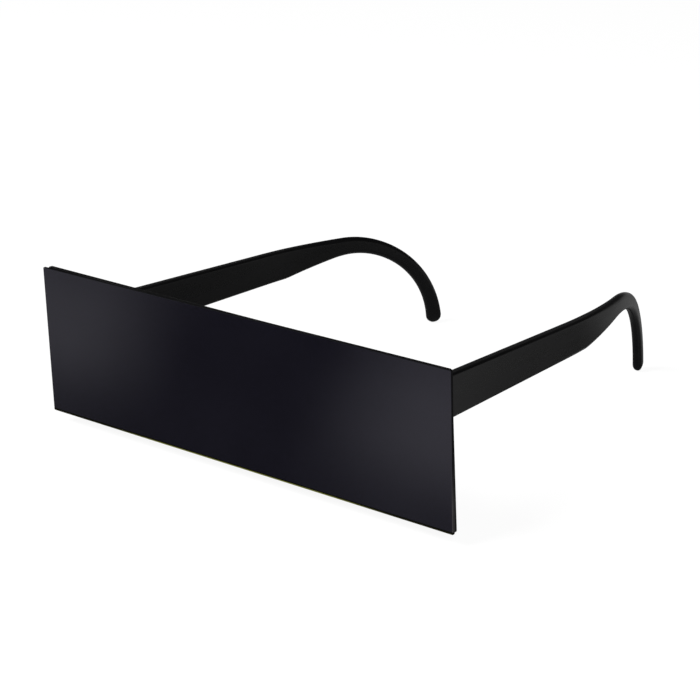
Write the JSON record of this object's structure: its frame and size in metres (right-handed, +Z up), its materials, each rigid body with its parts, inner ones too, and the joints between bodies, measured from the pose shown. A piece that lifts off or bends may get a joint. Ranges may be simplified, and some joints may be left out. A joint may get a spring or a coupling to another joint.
{
  "type": "novelty sunglasses",
  "caption": "Novelty sunglasses: a flat dark rectangular bar panel on a moulded frame, with folding temples that end in ear hooks.",
  "frame": {"origin": "the middle of the panel's front face", "axes": "+X to the right seen from the front, -Y out of the panel's face towards the viewer, +Z up"},
  "size_m": [0.1606, 0.1513, 0.0516],
  "materials": {
    "tinted_panel": "dark tinted acrylic, glossy, cut and polished edges",
    "clear_tape": "double-sided adhesive tape",
    "black_frame": "black moulded plastic, satin",
    "black_temple": "black moulded plastic, satin",
    "hinge_metal": "stamped and plated",
    "screw_metal": "turned and plated"
  },
  "bodies": {
    "front": {"front_frame": "black_frame", "bar_panel": "tinted_panel", "panel_tape_top": "clear_tape", "panel_tape_left": "clear_tape", "panel_tape_right": "clear_tape", "panel_tape_bottom_left": "clear_tape", "panel_tape_bottom_right": "clear_tape", "right_front_leaf": "hinge_metal", "left_front_leaf": "hinge_metal", "right_hinge_screw": "screw_metal", "left_hinge_screw": "screw_metal"},
    "right_arm": {"right_temple": "black_temple", "right_temple_leaf": "hinge_metal"},
    "left_arm": {"left_temple": "black_temple", "left_temple_leaf": "hinge_metal"}
  },
  "joints": [
    {"name": "right_temple_fold", "type": "hinge", "parent": "front", "child": "right_arm", "pos_m": [0.06211, 0.0138, 0.0075], "axis": [0, 0, 1], "range_deg": [0, 85]},
    {"name": "left_temple_fold", "type": "hinge", "parent": "front", "child": "left_arm", "pos_m": [-0.06211, 0.0138, 0.0075], "axis": [0, 0, -1], "range_deg": [0, 75]}
  ]
}
